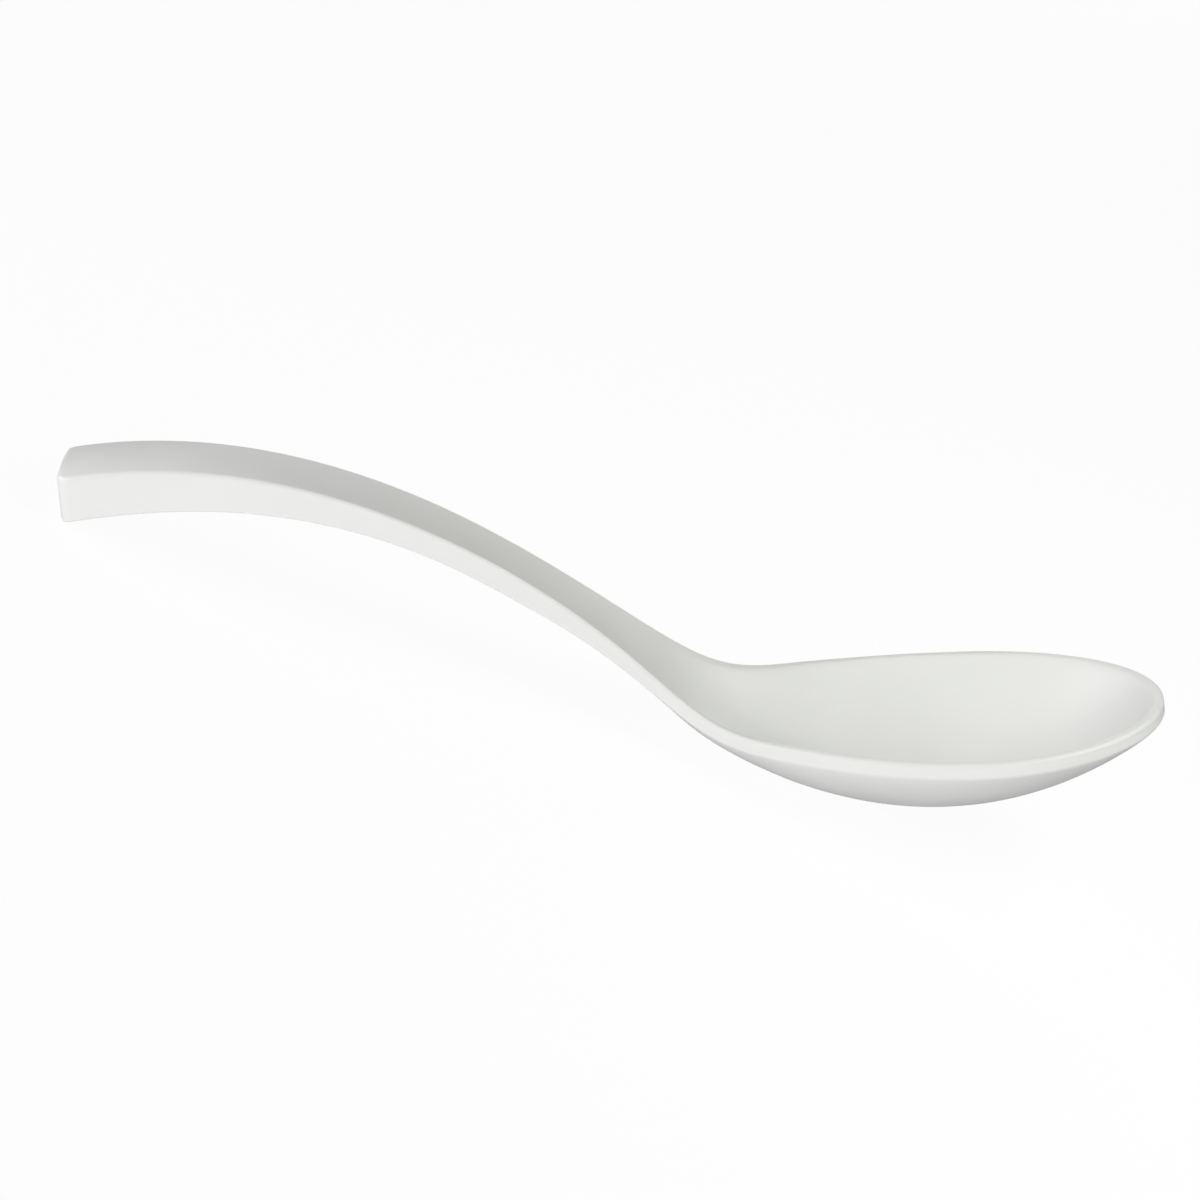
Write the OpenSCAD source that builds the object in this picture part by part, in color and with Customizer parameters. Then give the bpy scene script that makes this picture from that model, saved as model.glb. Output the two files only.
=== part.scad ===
// Salad serving spoon: one white moulding with a deep bowl and an arched, flat-sided handle.
// The spoon is first laid out straight, as sections along x from the handle's end to the tip.
// It is then bent along its top edge, and set down on its heel and the end of its handle.

/* [Overall] */
// Length from the handle's end to the tip, with the rim level
spoon_length = 244.5; // [230:0.5:260]
// Height of the handle's crest above the rim
handle_rise = 64.5; // [58:0.5:70]

/* [Handle] */
// Width at the handle's end
end_width = 21; // [17:0.5:25]
// Width at the waist, where the handle is slimmest
waist_width = 17.5; // [14:0.5:20]
// Depth at the handle's end
end_depth = 10.4; // [8:0.1:13]
// Depth at the waist
waist_depth = 5.5; // [4.5:0.1:7]
// Distance from the handle's end to the waist
waist_x = 95.5; // [85:0.5:105]
// Distance from the handle's end to the crest of its arch
crest_x = 18.5; // [10:0.5:24]
// Radius of the arch at its crest
arch_radius = 126.5; // [118:0.5:134]
// Lean of the end face, in degrees less than square to the arch
end_lean = 7; // [0:0.5:9]
// Rise of the crowned top at the handle's end
end_crown = 1; // [0.5:0.05:1.4]
// Depth of the dished top at the waist
waist_dish = 1; // [0.5:0.05:1.2]

/* [Bowl] */
// Width across the rim
bowl_width = 66; // [58:0.5:74]
// Distance from the widest place to the tip
front_length = 42.5; // [38:0.5:48]
// Length over which the sides flare out behind the widest place
flare_length = 114; // [100:1:120]
// Depth of the hollow below the rim
hollow_depth = 17.6; // [14:0.1:20]
// Distance from the deepest place to the tip
deepest_from_tip = 53.5; // [48:0.5:58]
// Radius of the hollow's floor behind the deepest place
floor_radius = 81; // [70:1:95]
// Thickness of the floor at the deepest place
floor_thickness = 3.6; // [3.2:0.1:4.6]
// Radius of the rim's gentle upward sweep, seen from the side
sweep_radius = 580; // [400:10:900]

/* [Rim] */
// Height of the side band that runs round the rim
band_height = 3.1; // [2.6:0.1:4]
// Width of the lip on top of the rim
lip_width = 2; // [1.6:0.1:2.6]
// Distance over which the lip is rounded into the hollow
lip_radius = 3; // [2:0.1:4]

/* [Neck] */
// How far the sides of the handle and the bowl are rounded into each other
side_blend = 13; // [8:0.5:18]
// How far the arch of the handle is rounded into the rim
arch_blend = 15.5; // [10:0.5:20]
// How far the top of the handle is rounded into the hollow
hollow_blend = 8; // [5:0.1:10]
// How far the underside of the neck swells into the heel of the bowl
heel_blend = 20.5; // [15:0.5:25]
// Distance behind the foot of the arch at which the side has thinned to the band
band_lead = 7; // [3:0.5:12]
// Distance behind the foot of the arch at which the handle passes into the bowl
bowl_lead = 28; // [22:1:34]

/* [Edges] */
// Radius along the top edges
top_radius = 0.8; // [0.5:0.1:1.2]
// Radius along the lower edges
low_radius = 0.3; // [0.2:0.05:0.6]
// Radius along the upper and lower edges of the handle's end
end_radius = 0.9; // [0.5:0.1:1.1]
// Radius of the upright corners of the handle's end
end_corner = 3; // [2:0.1:4]

/* [Hidden] */

// Powers that make the cross-sections full or pointed: one half would be an ellipse, one a parabola
hollow_power = 0.8;
front_power = 0.85;
underside_power = 0.85;

// Depth within which the hollow begins softly
soft_start = 1;

// Half width that stands in for none at the very tip
least_half = 0.01;

// Places along the straight layout
widest_x = spoon_length - front_length;
deepest_x = spoon_length - deepest_from_tip;
arch_foot_x = crest_x + sqrt(2 * arch_radius * handle_rise);
band_start_x = arch_foot_x - band_lead;
bowl_start_x = arch_foot_x - bowl_lead;

// Depth of the underside below the band at the deepest place, against that of the hollow
underside_ratio = (hollow_depth + floor_thickness - band_height) / hollow_depth;

// How finely the skin is divided
handle_step = 4;
bowl_step = 3;
front_steps = 20;
end_steps = 5;
corner_steps = 3;
across_steps = 8;
slope_step = 0.01;

// First guess of the resting tilt, and how often it is bettered
first_tilt = 20;
tilt_passes = 8;

white = "#f1f1ed";

// Larger of two values, with the corner between them rounded off where they differ by less than span
function rounded_max(a, b, span) =
    max(a, b) + pow(max(span - abs(a - b), 0) / span, 3) * span / 6;

// Smooth step from 0 to 1
function smooth(t) = let (u = min(max(t, 0), 1)) u * u * (3 - 2 * u);

// Rise from 0 to 1 with u that starts level and is soon straight
function eased(u, soft) = (norm([u, soft]) - soft) / (norm([1, soft]) - soft);

// Half width of the outline
function handle_half(x) = (waist_width + (end_width - waist_width) * max(1 - x / waist_x, 0)) / 2;
function flare_half(x) = bowl_width / 2 * pow(1 - pow(min((widest_x - x) / flare_length, 1), 2), 2);
function front_half(x) = bowl_width / 2 * sqrt(max(1 - pow((x - widest_x) / front_length, 2), 0));
function half_width(x) =
    x < widest_x ? rounded_max(handle_half(x), flare_half(x), side_blend) : front_half(x);

// Height of the top edge, from the handle's arch down to the rim
function arch_z(x) = handle_rise - pow(x - crest_x, 2) / (2 * arch_radius);
function rim_z(x) = pow(x - widest_x, 2) / (2 * sweep_radius);
function edge_z(x) = rounded_max(arch_z(x), rim_z(x), arch_blend);
function edge_angle(x) = atan((edge_z(x + slope_step) - edge_z(x - slope_step)) / (2 * slope_step));

// Depth of the flat side, from the handle's end to the band round the rim
function side_depth(x) =
    band_height
    + (waist_depth - band_height) * (1 - smooth((x - waist_x) / (band_start_x - waist_x)))
    + (end_depth - waist_depth) * (1 - smooth(x / waist_x));

// Depth of the hollow below the top edge: the handle's arch runs on down into it, and it rises to a front end
function floor_z(x) = rim_z(x) - hollow_depth + pow(x - deepest_x, 2) / (2 * floor_radius);
function rear_hollow(x) = edge_z(x) - rounded_max(arch_z(x), floor_z(x), hollow_blend);
function front_share(x, front_x) = max(1 - pow((x - deepest_x) / (front_x - deepest_x), 2), 0);
function front_hollow(x) =
    hollow_depth * pow(eased(front_share(x, spoon_length - lip_width), 2 * lip_radius / deepest_from_tip),
        front_power);
function hollow(x) =
    x < deepest_x ? rounded_max(rear_hollow(x), 0, soft_start) : front_hollow(x);

// How far the underside hangs below the side's lower edge: it swells out of the neck ahead of the hollow
function heel_span(x) = soft_start + heel_blend * smooth((x - bowl_start_x) / bowl_lead);
function heel(x) =
    x < deepest_x ? rounded_max(rear_hollow(x), 0, heel_span(x)) :
    front_share(x, spoon_length) * rounded_max(hollow_depth, 0, heel_span(x));
function across(x, y) = max(1 - pow(y / max(half_width(x), least_half), 2), 0);
function underside(x, y) = underside_ratio * heel(x) * pow(across(x, y), underside_power);

// Dip of the top's middle below its edges, as a share of the half width: the handle is crowned at its end
// and dished from the waist on, and the dish fades out where the bowl begins
crown_share = 2 * end_crown / end_width;
dish_share = 2 * waist_dish / waist_width;
function dip_share(x) =
    ((dish_share + crown_share) * smooth(x / waist_x) - crown_share)
    * (1 - smooth((x - band_start_x) / bowl_lead));
function dip(x, y) = dip_share(x) * half_width(x) * across(x, y);

// A station is [x, half width, inward step along x, inward step along y, inset]
function outline_slope(x) = (half_width(x + slope_step) - half_width(x - slope_step)) / (2 * slope_step);
function side_station(x) = [x, half_width(x), 0, sqrt(1 + pow(outline_slope(x), 2)), 0];
function end_station(a) =
    let (
        x = end_corner * (1 - cos(a)),
        inset = end_radius - sqrt(pow(end_radius, 2) - pow(max(end_radius - x, 0), 2)))
    [x, half_width(x) - end_corner * (1 - sin(a)), 0, 1, inset];
function front_station(a) =
    let (along = bowl_width / 2 * sin(a), across = front_length * cos(a), size = norm([along, across]))
    [widest_x + front_length * sin(a), bowl_width / 2 * cos(a), along / size, across / size, 0];

// The place at a distance inside the outline, on the station's own line
function inside(s, distance) = [s[0] - distance * s[2], s[1] - distance * s[3]];

// Edge radii shrink with the inset, so that they stay rounded on the end face
function shrunk(radius, s) = radius * (1 - s[4] / (2 * end_radius));

// Half of a station's section, from the middle of the top to the middle of the underside: [x, y, height]
function top_points(s) =
    let (
        edge = inside(s, lip_width),
        depth = hollow(edge[0]),
        soft = 2 * lip_radius / max(edge[1], lip_radius))
    [for (i = [0 : across_steps])
        let (
            a = 90 * i / across_steps,
            y = edge[1] * sin(a),
            sunk = depth * pow(eased(pow(cos(a), 2), soft), hollow_power))
        [edge[0], y, -s[4] - sunk - dip(edge[0], y)]];
function top_corner(s) =
    let (r = shrunk(top_radius, s))
    [for (i = [0 : corner_steps]) let (a = 90 * (1 - i / corner_steps), at = inside(s, r * (1 - cos(a))))
        [at[0], at[1], -s[4] - r * (1 - sin(a)) - dip(at[0], at[1])]];
function low_corner(s) =
    let (r = shrunk(low_radius, s))
    [for (i = [0 : corner_steps]) let (a = 90 * i / corner_steps, at = inside(s, r * (1 - cos(a))))
        [at[0], at[1], s[4] - side_depth(s[0]) + r * (1 - sin(a)) - underside(at[0], at[1])]];
function low_points(s) =
    let (edge = inside(s, shrunk(low_radius, s)))
    [for (i = [1 : across_steps]) let (y = edge[1] * cos(90 * i / across_steps))
        [edge[0], y, s[4] - side_depth(s[0]) - underside(edge[0], y)]];
function half_section(s) = concat(top_points(s), top_corner(s), low_corner(s), low_points(s));

// Bend a straight point along the top edge. Behind the crest the sections lean, up to the end face
function bend(p) =
    let (a = edge_angle(p[0]) - end_lean * (1 - smooth(p[0] / crest_x)))
    [p[0] - p[2] * sin(a), p[1], edge_z(p[0]) + p[2] * cos(a)];

// Closed ring of a station: down one side and up the other
function ring(s) =
    let (half = [for (p = half_section(s)) bend(p)], last = len(half) - 1)
    concat(half, [for (i = [last - 1 : -1 : 1]) [half[i][0], -half[i][1], half[i][2]]]);

// Evenly spaced places from one x to another
function places(from, to, step) =
    let (count = ceil((to - from) / step))
    [for (i = [0 : count]) from + (to - from) * i / count];

handle_rings = concat(
    [for (i = [0 : end_steps - 1]) ring(end_station(90 * i / end_steps))],
    [for (x = places(end_corner, bowl_start_x, handle_step)) ring(side_station(x))]);
rear_rings = [for (x = places(bowl_start_x, widest_x - bowl_step, bowl_step)) ring(side_station(x))];
front_rings = [for (i = [0 : front_steps]) ring(front_station(90 * i / front_steps))];
bowl_rings = concat(rear_rings, front_rings);

// Resting tilt: the line through the lowest place of the handle and the lowest place of the bowl
function keel(rings) = [for (r = rings) r[len(r) / 2]];
function raised(p, tilt) = p[0] * sin(tilt) + p[2] * cos(tilt);
function lowest(points, tilt) =
    let (heights = [for (p = points) raised(p, tilt)])
    points[search(min(heights), heights)[0]];
function resting_tilt(tilt, passes) =
    passes == 0 ? tilt :
    let (end = lowest(keel(handle_rings), tilt), heel = lowest(keel(bowl_rings), tilt))
    resting_tilt(atan((end[2] - heel[2]) / (heel[0] - end[0])), passes - 1);
rest_tilt = resting_tilt(first_tilt, tilt_passes);
rest_z = raised(lowest(keel(handle_rings), rest_tilt), rest_tilt);

// Place of the middle of the resting spoon's length
function forward(p) = p[0] * cos(rest_tilt) - p[2] * sin(rest_tilt);
end_x = min([for (r = handle_rings) for (p = r) forward(p)]);
tip_x = max([for (r = bowl_rings) for (p = r) forward(p)]);
rest_x = (end_x + tip_x) / 2;

module at_rest() {
    translate([-rest_x, 0, -rest_z])
        rotate([0, -rest_tilt, 0])
            children();
}

// Triangles that close the first or the last ring: each pair of top points is joined to the pair below it
function turned(t, turn) = turn ? [t[2], t[1], t[0]] : t;
function cap(base, count, turn) =
    let (low = count / 2)
    [for (i = [0 : low / 2 - 1])
        for (t = [[i, i + 1, low - i], [i + 1, low - i - 1, low - i]])
            if (t[0] != t[1])
                each [
                    turned([for (k = t) base + k], turn),
                    turned([for (k = t) base + (count - k) % count], !turn)]];

// Closed skin over a row of rings. A nosed skin ends on a ring that is folded flat, and needs no second cap
module skin(rings, nosed) {
    count = len(rings[0]);
    last = len(rings) - 1;
    points = [for (r = rings) for (p = r) p];
    sides = [for (i = [0 : last - 1]) for (j = [0 : count - 1])
        let (a = i * count + j, b = i * count + (j + 1) % count)
        for (t = [[a, b, b + count], [a, b + count, a + count]])
            if (points[t[1]] != points[t[2]]) t];
    far_cap = nosed ? [] : cap(last * count, count, false);
    polyhedron(points, concat(sides, cap(0, count, true), far_cap));
}

// Deep oval bowl with its lip, band and neck
module bowl() {
    color(white) at_rest() skin(bowl_rings, nosed = true);
}

// Arched handle with flat sides, thick at its end and slim at its waist
module handle() {
    color(white) at_rest() skin(handle_rings, nosed = false);
}

bowl();
handle();
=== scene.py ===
"""Looks of a white moulded salad serving spoon: skin, melamine finish, pale floor, soft light and camera."""

import math

import bmesh
import bpy
import numpy as np
from mathutils import Matrix, Vector


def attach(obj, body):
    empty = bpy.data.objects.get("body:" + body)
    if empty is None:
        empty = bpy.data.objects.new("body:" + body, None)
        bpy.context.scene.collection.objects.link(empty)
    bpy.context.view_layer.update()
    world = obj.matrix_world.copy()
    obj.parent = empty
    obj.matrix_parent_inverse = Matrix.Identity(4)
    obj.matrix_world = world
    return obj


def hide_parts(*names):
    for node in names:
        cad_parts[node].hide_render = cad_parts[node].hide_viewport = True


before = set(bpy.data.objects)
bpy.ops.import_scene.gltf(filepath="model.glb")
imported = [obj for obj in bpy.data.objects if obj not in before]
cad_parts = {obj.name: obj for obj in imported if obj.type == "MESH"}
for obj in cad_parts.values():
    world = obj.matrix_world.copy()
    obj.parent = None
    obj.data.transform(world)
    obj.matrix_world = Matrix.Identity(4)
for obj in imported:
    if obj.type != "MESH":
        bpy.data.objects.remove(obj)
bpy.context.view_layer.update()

# Metres in a millimetre
MM = 0.001

# Sizes of the moulding in millimetres, laid out straight along x from the handle's end to the tip
SPOON_LENGTH = 244.5
HANDLE_RISE = 64.5
END_WIDTH = 21.0
WAIST_WIDTH = 17.5
END_DEPTH = 10.4
WAIST_DEPTH = 5.5
WAIST_X = 95.5
CREST_X = 18.5
ARCH_RADIUS = 126.5
END_CROWN = 1.0
WAIST_DISH = 1.0
BOWL_WIDTH = 66.0
FRONT_LENGTH = 42.5
FLARE_LENGTH = 114.0
HOLLOW_DEPTH = 17.6
DEEPEST_FROM_TIP = 53.5
FLOOR_RADIUS = 81.0
FLOOR_THICKNESS = 3.6
SWEEP_RADIUS = 580.0
BAND_HEIGHT = 3.1
LIP_WIDTH = 2.0
LIP_RADIUS = 3.0
SIDE_BLEND = 13.0
ARCH_BLEND = 15.5
HOLLOW_BLEND = 8.0
HEEL_BLEND = 20.5
BAND_LEAD = 7.0
BOWL_LEAD = 28.0
TOP_RADIUS = 0.8
LOW_RADIUS = 0.3
END_RADIUS = 0.9
END_CORNER = 3.0

# Lean of the handle's end face from square to the arch, in degrees
END_LEAN = 7.0

# Depth within which the hollow begins softly, and the half width that stands in for none at the very tip
SOFT_START = 1.0
LEAST_HALF = 0.01

# Powers of the cross-sections: one half would be an ellipse, one a parabola
HOLLOW_POWER = 0.8
FRONT_POWER = 0.85
UNDERSIDE_POWER = 0.85

# Places along the straight layout
WIDEST_X = SPOON_LENGTH - FRONT_LENGTH
DEEPEST_X = SPOON_LENGTH - DEEPEST_FROM_TIP
ARCH_FOOT_X = CREST_X + math.sqrt(2 * ARCH_RADIUS * HANDLE_RISE)
BAND_START_X = ARCH_FOOT_X - BAND_LEAD
BOWL_START_X = ARCH_FOOT_X - BOWL_LEAD

# Depth of the underside below the band at the deepest place, against that of the hollow
UNDERSIDE_RATIO = (HOLLOW_DEPTH + FLOOR_THICKNESS - BAND_HEIGHT) / HOLLOW_DEPTH

# How finely the skin is divided, along the spoon and then across it
END_STEPS = 10
SIDE_STEPS = 200
FRONT_STEPS = 70
HOLLOW_STEPS = 30
CORNER_STEPS = 6
BAND_STEPS = 4
UNDER_STEPS = 26

# Distance in millimetres between an edge and the extra row that keeps the shading beside it even
EDGE_GUARD = 0.25

# Distance in millimetres within which points are welded into one
WELD_DISTANCE = 0.001

# Step in millimetres to either side over which slopes are taken
SLOPE_STEP = 0.01

# First guess of the resting tilt in degrees, and how often it is bettered
FIRST_TILT = 20.0
TILT_PASSES = 12

# Patterns of the melamine, in millimetres, and how strongly the ripple shows
CLOUD_SIZE = 35.0
HANDLING_SIZE = 12.0
RIPPLE_SIZE = 2.5
RIPPLE_HEIGHT = 0.2
RIPPLE_STRENGTH = 0.05

# Optics of moulded melamine: its refraction, and its roughness where it is least and most handled
MELAMINE_IOR = 1.55
POLISHED_ROUGHNESS = 0.4
HANDLED_ROUGHNESS = 0.5

# Camera of the photograph in the layout's own frame, with the rim level, in degrees and millimetres
CAMERA_AZIMUTH = 4.685
CAMERA_ELEVATION = 22.0
CAMERA_ROLL = -2.896
CAMERA_DISTANCE = 1340.0
CAMERA_TARGET = (118.95, 0.0, 27.67)
NEAR_CLIP = 10.0
SENSOR = 36.0

# Pixels across the photograph, and to a millimetre at the camera's target
PHOTO_SIZE = 1200
PIXELS_PER_MM = 4.4611

# Usual distance and size of a soft light in millimetres, and where the bowl's own light is aimed
LIGHT_DISTANCE = 900.0
LIGHT_SIZE = 500.0
BOWL_MIDDLE = (195.5, 0.0, 0.0)

# Strengths of the surroundings and of the floor's glow as shares of white, and the floor's reach in metres
WORLD_STRENGTH = 0.01
FLOOR_GLOW = 0.94
FLOOR_REACH = 6.0


def rounded_max(a, b, span):
    """The larger of a and b, with the corner between them rounded off.

    It adds a sixth of the span times the cube of the share that their difference lacks of the span.
    """
    short = np.maximum(span - np.abs(a - b), 0) / span
    return np.maximum(a, b) + short**3 * span / 6


def smooth(t):
    """Smooth step: 3t squared less 2t cubed, held at 0 and 1 outside."""
    u = np.clip(t, 0, 1)
    return u * u * (3 - 2 * u)


def eased(u, soft):
    """Rise from 0 to 1 with u that starts level and is soon straight.

    It is the root of u squared plus soft squared, less soft, against the same at u = 1.
    """
    return (np.sqrt(u * u + soft * soft) - soft) / (np.sqrt(1 + soft * soft) - soft)


def slope(function, x):
    """Slope of a function of x, from two close places."""
    return (function(x + SLOPE_STEP) - function(x - SLOPE_STEP)) / (2 * SLOPE_STEP)


def half_width(x):
    """Half the outline's width: a tapered handle rounded into a flare, then a quarter ellipse.

    The flare is the bowl's half width times the square of one less the squared share of the way back.
    """
    handle = (WAIST_WIDTH + (END_WIDTH - WAIST_WIDTH) * np.maximum(1 - x / WAIST_X, 0)) / 2
    flare = BOWL_WIDTH / 2 * (1 - np.clip((WIDEST_X - x) / FLARE_LENGTH, 0, 1) ** 2) ** 2
    front = BOWL_WIDTH / 2 * np.sqrt(np.maximum(1 - ((x - WIDEST_X) / FRONT_LENGTH) ** 2, 0))
    return np.where(x < WIDEST_X, rounded_max(handle, flare, SIDE_BLEND), front)


def arch_z(x):
    """Height of the handle's arch: a parabola about its crest."""
    return HANDLE_RISE - (x - CREST_X) ** 2 / (2 * ARCH_RADIUS)


def rim_z(x):
    """Height of the rim: a shallow parabola about the widest place."""
    return (x - WIDEST_X) ** 2 / (2 * SWEEP_RADIUS)


def edge_z(x):
    """Height of the top edge: the arch rounded into the rim."""
    return rounded_max(arch_z(x), rim_z(x), ARCH_BLEND)


def side_depth(x):
    """Depth of the flat side: a smooth step from the end to the waist, another from there to the band."""
    neck = (WAIST_DEPTH - BAND_HEIGHT) * (1 - smooth((x - WAIST_X) / (BAND_START_X - WAIST_X)))
    handle = (END_DEPTH - WAIST_DEPTH) * (1 - smooth(x / WAIST_X))
    return BAND_HEIGHT + neck + handle


def front_share(x, front_x):
    """One less the square of the share of the way from the deepest place to the front."""
    return 1 - np.clip((x - DEEPEST_X) / (front_x - DEEPEST_X), 0, 1) ** 2


def hollow(x, span, share):
    """Depth of the hollow below the top edge, which begins softly within the span.

    Behind the deepest place the arch runs on down and is rounded into a parabola, the floor. Ahead of it,
    the depth is the full one times the given share.
    """
    floor = rim_z(x) - HOLLOW_DEPTH + (x - DEEPEST_X) ** 2 / (2 * FLOOR_RADIUS)
    rear = edge_z(x) - rounded_max(arch_z(x), floor, HOLLOW_BLEND)
    front = rounded_max(HOLLOW_DEPTH, 0, span) * share
    return np.where(x < DEEPEST_X, rounded_max(rear, 0, span), front)


def across(x, y):
    """One less the square of y's share of the half width."""
    return np.maximum(1 - (y / np.maximum(half_width(x), LEAST_HALF)) ** 2, 0)


def underside(x, y):
    """How far the underside hangs below the side's lower edge.

    It is a ratio of the heel's depth, times a power of one less the squared share of the half width. The
    heel is the hollow with a longer soft start, so it swells out of the neck ahead of the hollow.
    """
    span = SOFT_START + HEEL_BLEND * smooth((x - BOWL_START_X) / BOWL_LEAD)
    heel = hollow(x, span, front_share(x, SPOON_LENGTH))
    return UNDERSIDE_RATIO * heel * across(x, y) ** UNDERSIDE_POWER


def dip(x, y):
    """Dip of the top's middle: crowned at the handle's end, dished from the waist on, fading in the bowl.

    It is a share of the half width, which goes by a smooth step from the crown's share to the dish's.
    """
    crown = 2 * END_CROWN / END_WIDTH
    share = (2 * WAIST_DISH / WAIST_WIDTH + crown) * smooth(x / WAIST_X) - crown
    fade = 1 - smooth((x - BAND_START_X) / BOWL_LEAD)
    return share * half_width(x) * fade * across(x, y)


def stations():
    """Rows of x, half width, inward steps along x and y, and inset, for the end, the sides and the front.

    The end's corners are quarter circles seen from above. Its upper and lower edges are smaller ones: their
    inset is the radius less the root of its square less that of the distance still to go. The front's
    places follow a quarter ellipse with its true normals.
    """
    a = np.append(0, np.linspace(0, np.pi / 2, END_STEPS, endpoint=False))
    end_x = END_CORNER * (1 - np.cos(a))
    to_go = np.maximum(END_RADIUS - end_x, 0)
    inset = END_RADIUS - np.sqrt(END_RADIUS**2 - to_go**2)
    end_half = half_width(end_x) - END_CORNER * (1 - np.sin(a))
    guard = EDGE_GUARD * (np.arange(len(a)) == 0)
    end = np.stack([end_x, end_half - guard, 0 * a, 1 + 0 * a, inset + guard], -1)

    x = np.linspace(END_CORNER, WIDEST_X, SIDE_STEPS)[:-1]
    side = np.stack([x, half_width(x), 0 * x, np.sqrt(1 + slope(half_width, x) ** 2), 0 * x], -1)

    b = np.linspace(0, np.pi / 2, FRONT_STEPS)
    normal_x = BOWL_WIDTH / 2 * np.sin(b)
    normal_y = FRONT_LENGTH * np.cos(b)
    size = np.hypot(normal_x, normal_y)
    front_x = WIDEST_X + FRONT_LENGTH * np.sin(b)
    front = np.stack([front_x, BOWL_WIDTH / 2 * np.cos(b), normal_x / size, normal_y / size, 0 * b], -1)
    return np.concatenate([end, side, front])[:, :, None].transpose(1, 0, 2)


def half_sections():
    """x, y and height of every half section, from the middle of the top to the middle of the underside.

    Across the top runs the hollow: its depth at the station times a power of the eased square of a cosine.
    Then come the lip, a quarter circle, the side, another quarter circle and the underside. A place at a
    distance inside the outline is found along the station's own inward step.
    """
    x, half, step_x, step_y, inset = stations()

    def inside(distance):
        return x - distance * step_x, half - distance * step_y

    shrink = 1 - inset / (2 * (END_RADIUS + EDGE_GUARD))
    top_r = TOP_RADIUS * shrink
    low_r = LOW_RADIUS * shrink
    side = side_depth(x)

    a = np.linspace(0, np.pi / 2, HOLLOW_STEPS)
    lip_x, lip_y = inside(LIP_WIDTH)
    soft = 2 * LIP_RADIUS / np.maximum(lip_y, LIP_RADIUS)
    rise = eased(front_share(lip_x, SPOON_LENGTH - LIP_WIDTH), 2 * LIP_RADIUS / DEEPEST_FROM_TIP)
    depth = hollow(lip_x, SOFT_START, rise**FRONT_POWER)
    sunk = depth * eased(np.cos(a) ** 2, soft) ** HOLLOW_POWER
    y = lip_y * np.sin(a)
    top = (lip_x + 0 * a, y, -inset - sunk - dip(lip_x, y))

    lip_at = np.array([[LIP_WIDTH - EDGE_GUARD, (LIP_WIDTH + TOP_RADIUS) / 2, TOP_RADIUS + EDGE_GUARD]])
    lip = (*inside(lip_at), -inset - dip(*inside(lip_at)))

    c = np.linspace(np.pi / 2, 0, CORNER_STEPS)
    at = inside(top_r * (1 - np.cos(c)))
    top_corner = (*at, -inset - top_r * (1 - np.sin(c)) - dip(*at))

    share = np.linspace(0, 1, BAND_STEPS + 2)[1:-1]
    from_h = -inset - top_r
    to_h = inset - side + low_r
    band = (x + 0 * share, half + 0 * share, from_h + (to_h - from_h) * smooth(share))

    c = np.linspace(0, np.pi / 2, CORNER_STEPS)
    low_x, low_y = inside(low_r * (1 - np.cos(c)))
    low_corner = (low_x, low_y, inset - side + low_r * (1 - np.sin(c)) - underside(low_x, low_y))

    b = np.linspace(0, np.pi / 2, UNDER_STEPS)[1:]
    under_x, under_y = inside(low_r)
    y = under_y * np.cos(b)
    under = (under_x + 0 * b, y, inset - side - underside(under_x + 0 * b, y))

    parts = (top, lip, top_corner, band, low_corner, under)
    return [np.concatenate([p[i] for p in parts], axis=1) for i in range(3)]


def bent(x, y, height):
    """The straight layout bent along its top edge: heights are set off square to the edge curve.

    From the crest back to the handle's end they lean more and more, so the end face is less than square.
    """
    lean = math.radians(END_LEAN) * (1 - smooth(x / CREST_X))
    angle = np.arctan(slope(edge_z, x)) - lean
    return np.stack([x - height * np.sin(angle), y, edge_z(x) + height * np.cos(angle)], -1)


def resting_tilt(keel):
    """Angle that brings the lowest place of the handle and the lowest place of the bowl to one level.

    It is the slope of the line through the two, which are looked for again at each new angle.
    """
    handle = keel[keel[:, 0] < WAIST_X]
    bowl = keel[keel[:, 0] >= WAIST_X]
    tilt = math.radians(FIRST_TILT)
    for _ in range(TILT_PASSES):
        up = np.array([math.sin(tilt), 0, math.cos(tilt)])
        end = handle[np.argmin(handle @ up)]
        heel = bowl[np.argmin(bowl @ up)]
        tilt = math.atan2(end[2] - heel[2], heel[0] - end[0])
    return tilt


def at_rest(points):
    """Matrix from the layout in millimetres to the table in metres: tilted, set down and centred."""
    turn = Matrix.Rotation(-resting_tilt(points[:, -1]), 4, "Y")
    placed = points.reshape(-1, 3) @ np.array(turn.to_3x3()).T
    low = placed.min(0)
    high = placed.max(0)
    shift = Matrix.Translation((-(low[0] + high[0]) / 2, 0, -low[2]))
    return Matrix.Scale(MM, 4) @ shift @ turn


def moulding(points, rest):
    """The closed skin: half sections mirrored into rings, quads between rings, and one face on the end."""
    mirrored = points[:, -2:0:-1] * np.array([1, -1, 1])
    rings = np.concatenate([points, mirrored], axis=1)
    rows, count = rings.shape[:2]
    index = np.arange(rows * count).reshape(rows, count)
    after = np.roll(index, -1, axis=1)
    quads = np.stack([index[:-1], index[1:], after[1:], after[:-1]], -1).reshape(-1, 4)
    place = np.array(rest)
    vertices = rings.reshape(-1, 3) @ place[:3, :3].T + place[:3, 3]
    mesh = bpy.data.meshes.new("spoon_moulding")
    mesh.from_pydata(vertices.tolist(), [], quads.tolist() + [index[0].tolist()])
    work = bmesh.new()
    work.from_mesh(mesh)
    bmesh.ops.remove_doubles(work, verts=work.verts, dist=WELD_DISTANCE * MM)
    bmesh.ops.recalc_face_normals(work, faces=work.faces)
    work.to_mesh(mesh)
    work.free()
    mesh.shade_smooth()
    spoon = bpy.data.objects.new("spoon_moulding", mesh)
    bpy.context.scene.collection.objects.link(spoon)
    return spoon


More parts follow.
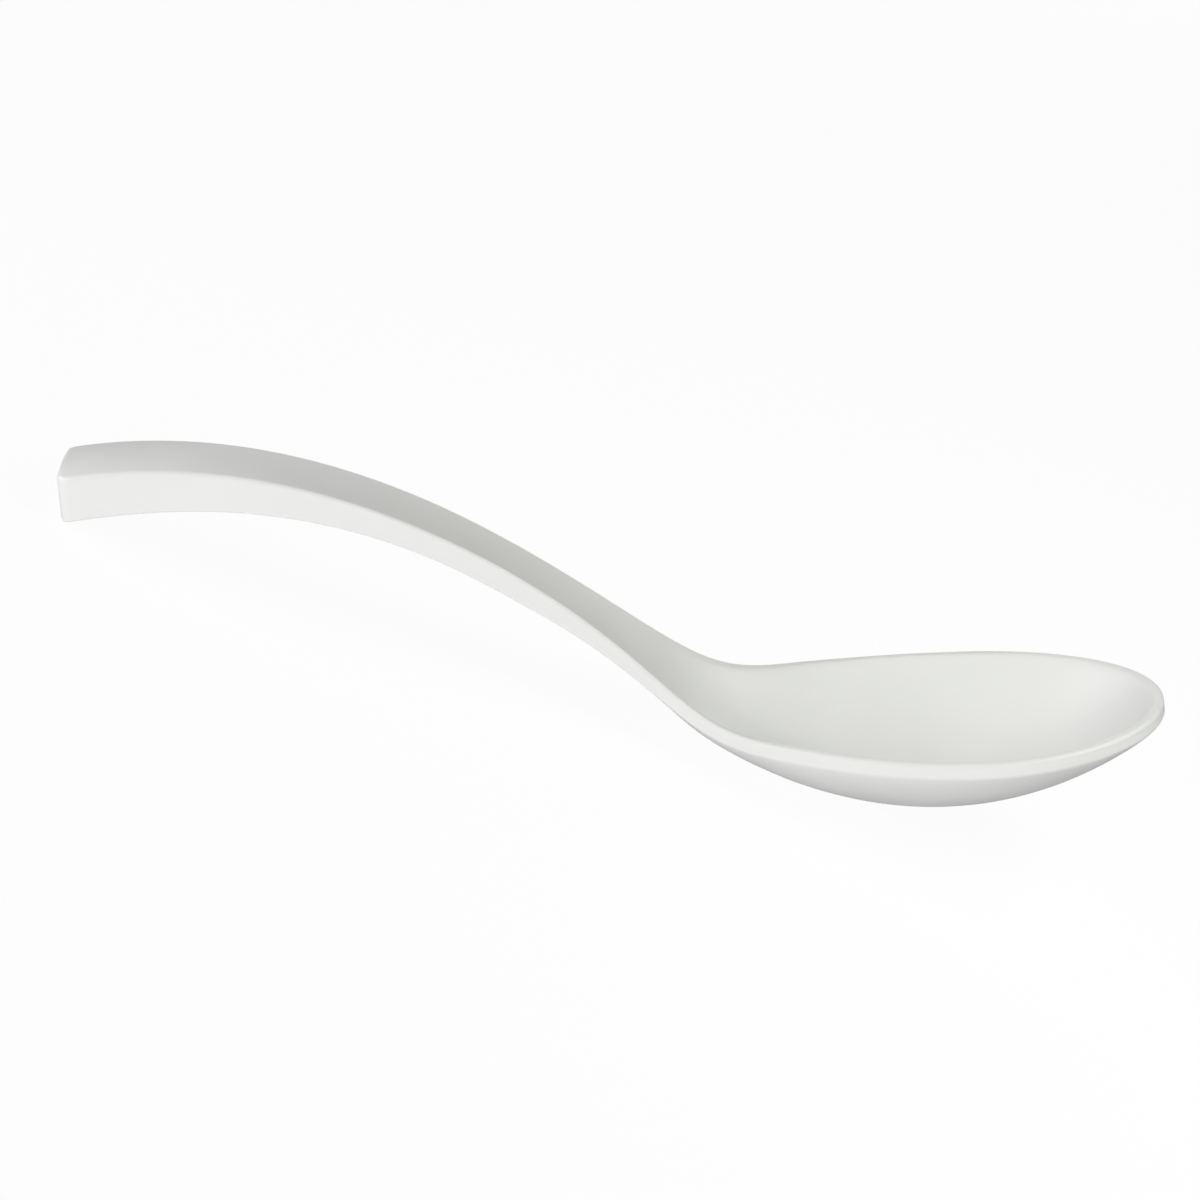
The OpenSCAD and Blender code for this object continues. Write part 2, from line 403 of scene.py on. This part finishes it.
def linear(code):
    """Linear colour of an sRGB hex code."""
    value = np.array([int(code[i : i + 2], 16) for i in (1, 3, 5)]) / 255
    return (*np.where(value <= 0.04045, value / 12.92, ((value + 0.055) / 1.055) ** 2.4), 1.0)


def add(tree, kind, inputs=None):
    """Add a node, and give each named input a value or a link."""
    made = tree.nodes.new(kind)
    for name, value in (inputs or {}).items():
        if isinstance(value, bpy.types.NodeSocket):
            tree.links.new(value, made.inputs[name])
        else:
            made.inputs[name].default_value = value
    return made


def per_metre(size):
    """Noise scale that gives a pattern of this size in millimetres."""
    return 1 / (size * MM)


def moulded_melamine():
    """White melamine, pressed in a polished steel mould: a hard, soft-glossed skin with a faint ripple."""
    material = bpy.data.materials.new("moulded_melamine")
    material.use_nodes = True
    tree = material.node_tree
    shader = tree.nodes["Principled BSDF"]
    shader.inputs["IOR"].default_value = MELAMINE_IOR
    place = add(tree, "ShaderNodeTexCoord").outputs["Object"]

    # The powder cures a little unevenly, which leaves clouds of white a shade apart
    clouds = add(
        tree,
        "ShaderNodeTexNoise",
        {"Vector": place, "Scale": per_metre(CLOUD_SIZE), "Detail": 3.0},
    )
    tint = add(tree, "ShaderNodeValToRGB", {"Fac": clouds.outputs["Fac"]})
    tint.color_ramp.elements[0].position = 0.35
    tint.color_ramp.elements[0].color = linear("#edeeec")
    tint.color_ramp.elements[1].position = 0.65
    tint.color_ramp.elements[1].color = linear("#f0f1ef")
    tree.links.new(tint.outputs["Color"], shader.inputs["Base Color"])

    # Handling dulls the gloss in patches
    handling = add(
        tree,
        "ShaderNodeTexNoise",
        {"Vector": place, "Scale": per_metre(HANDLING_SIZE), "Detail": 5.0},
    )
    gloss = add(
        tree,
        "ShaderNodeMapRange",
        {
            "Value": handling.outputs["Fac"],
            "From Min": 0.3,
            "From Max": 0.7,
            "To Min": POLISHED_ROUGHNESS,
            "To Max": HANDLED_ROUGHNESS,
        },
    )
    tree.links.new(gloss.outputs["Result"], shader.inputs["Roughness"])

    # Ripple of the pressed skin, drawn as coarse as it needs to show
    ripple = add(
        tree,
        "ShaderNodeTexNoise",
        {"Vector": place, "Scale": per_metre(RIPPLE_SIZE), "Detail": 2.0},
    )
    bump = add(
        tree,
        "ShaderNodeBump",
        {"Height": ripple.outputs["Fac"], "Strength": RIPPLE_STRENGTH, "Distance": RIPPLE_HEIGHT * MM},
    )
    tree.links.new(bump.outputs["Normal"], shader.inputs["Normal"])
    return material


def pale_floor():
    """Pale matt studio paper under the spoon, which glows and so looks white.

    It shows a faint shadow. It throws no light back at the spoon, and lets the light from below through.
    """
    material = bpy.data.materials.new("studio_paper")
    material.use_nodes = True
    shader = material.node_tree.nodes["Principled BSDF"]
    shader.inputs["Base Color"].default_value = linear("#484848")
    shader.inputs["Roughness"].default_value = 1.0
    shader.inputs["Specular IOR Level"].default_value = 0.0
    shader.inputs["Emission Color"].default_value = linear("#ffffff")
    shader.inputs["Emission Strength"].default_value = FLOOR_GLOW
    mesh = bpy.data.meshes.new("floor")
    reach = FLOOR_REACH
    corners = [(-reach, -reach, 0), (reach, -reach, 0), (reach, reach, 0), (-reach, reach, 0)]
    mesh.from_pydata(corners, [], [(0, 1, 2, 3)])
    mesh.materials.append(material)
    floor = bpy.data.objects.new("floor", mesh)
    bpy.context.scene.collection.objects.link(floor)
    for ray in ("visible_diffuse", "visible_glossy", "visible_transmission", "visible_shadow"):
        setattr(floor, ray, False)


def direction(azimuth, elevation):
    """Unit vector towards an azimuth and an elevation: azimuth 0 is in front, 90 to the right."""
    a = math.radians(azimuth)
    e = math.radians(elevation)
    return Vector((math.sin(a) * math.cos(e), -math.cos(a) * math.cos(e), math.sin(e)))


def softbox(
    name,
    rest,
    azimuth,
    elevation,
    share,
    target=CAMERA_TARGET,
    distance=LIGHT_DISTANCE,
    size=LIGHT_SIZE,
    tint="#ffffff",
    glossy=True,
):
    """Square soft light, placed in the layout's frame and turned to a place on the spoon.

    The share is the brightness that it alone gives a white surface that faces it. Times the square of pi
    times the distance in metres, it is in watts.
    """
    light = bpy.data.lights.new(name, "AREA")
    light.shape = "SQUARE"
    light.size = size * MM
    light.energy = share * (math.pi * distance * MM) ** 2
    light.color = linear(tint)[:3]
    lamp = bpy.data.objects.new(name, light)
    bpy.context.scene.collection.objects.link(lamp)
    lamp.location = rest @ (Vector(target) + direction(azimuth, elevation) * distance)
    lamp.rotation_mode = "QUATERNION"
    lamp.rotation_quaternion = (rest @ Vector(target) - lamp.location).to_track_quat("-Z", "Y")
    lamp.visible_camera = False
    lamp.visible_glossy = glossy


def studio_light(rest):
    """Dim even surroundings and nine soft lights: four in front and at the sides, and three behind.

    A small one stands close to the bowl. A broad one from below stands for what a white table throws back.
    The lowest of those behind only fills the back, and doesn't show in the gloss.
    """
    world = bpy.data.worlds.new("studio")
    world.use_nodes = True
    world.node_tree.nodes["Background"].inputs["Color"].default_value = linear("#ffffff")
    world.node_tree.nodes["Background"].inputs["Strength"].default_value = WORLD_STRENGTH
    bpy.context.scene.world = world
    softbox("left_light", rest, -75, 25, 0.3)
    softbox("front_left_light", rest, -45, 23, 0.42)
    softbox("front_light", rest, 15, 10, 0.13)
    softbox("right_light", rest, 75, 10, 0.185)
    softbox("bowl_light", rest, 70, 40, 0.4, target=BOWL_MIDDLE, distance=400, size=200, tint="#fefff7")
    softbox("left_back_light", rest, -110, 40, 0.28)
    softbox("right_back_light", rest, 110, 40, 0.212)
    softbox("table_light", rest, 0, -45, 0.87, distance=700, size=900)
    softbox("back_light", rest, 180, 5, 0.2, glossy=False)


def photo_camera(rest):
    """Camera of the photograph: its place in the layout's frame, carried to the table with the spoon."""
    back = direction(CAMERA_AZIMUTH, CAMERA_ELEVATION)
    level = Vector((math.cos(math.radians(CAMERA_AZIMUTH)), math.sin(math.radians(CAMERA_AZIMUTH)), 0))
    upright = back.cross(level)
    roll = math.radians(CAMERA_ROLL)
    right = level * math.cos(roll) + upright * math.sin(roll)
    up = upright * math.cos(roll) - level * math.sin(roll)
    turn = rest.to_3x3().normalized()
    axes = Matrix((turn @ right, turn @ up, turn @ back)).transposed()
    eye = rest @ (Vector(CAMERA_TARGET) + back * CAMERA_DISTANCE)
    data = bpy.data.cameras.new("photo_camera")
    data.sensor_width = SENSOR
    data.lens = SENSOR * PIXELS_PER_MM * CAMERA_DISTANCE / PHOTO_SIZE
    data.clip_start = NEAR_CLIP * MM
    camera = bpy.data.objects.new("photo_camera", data)
    bpy.context.scene.collection.objects.link(camera)
    camera.matrix_world = Matrix.Translation(eye) @ axes.to_4x4()
    bpy.context.scene.camera = camera


points = bent(*half_sections())
rest = at_rest(points)
spoon = moulding(points, rest)
spoon.data.materials.append(moulded_melamine())
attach(spoon, "root")
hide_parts("bowl", "handle")

pale_floor()
studio_light(rest)
photo_camera(rest)
bpy.context.scene.view_settings.view_transform = "Standard"
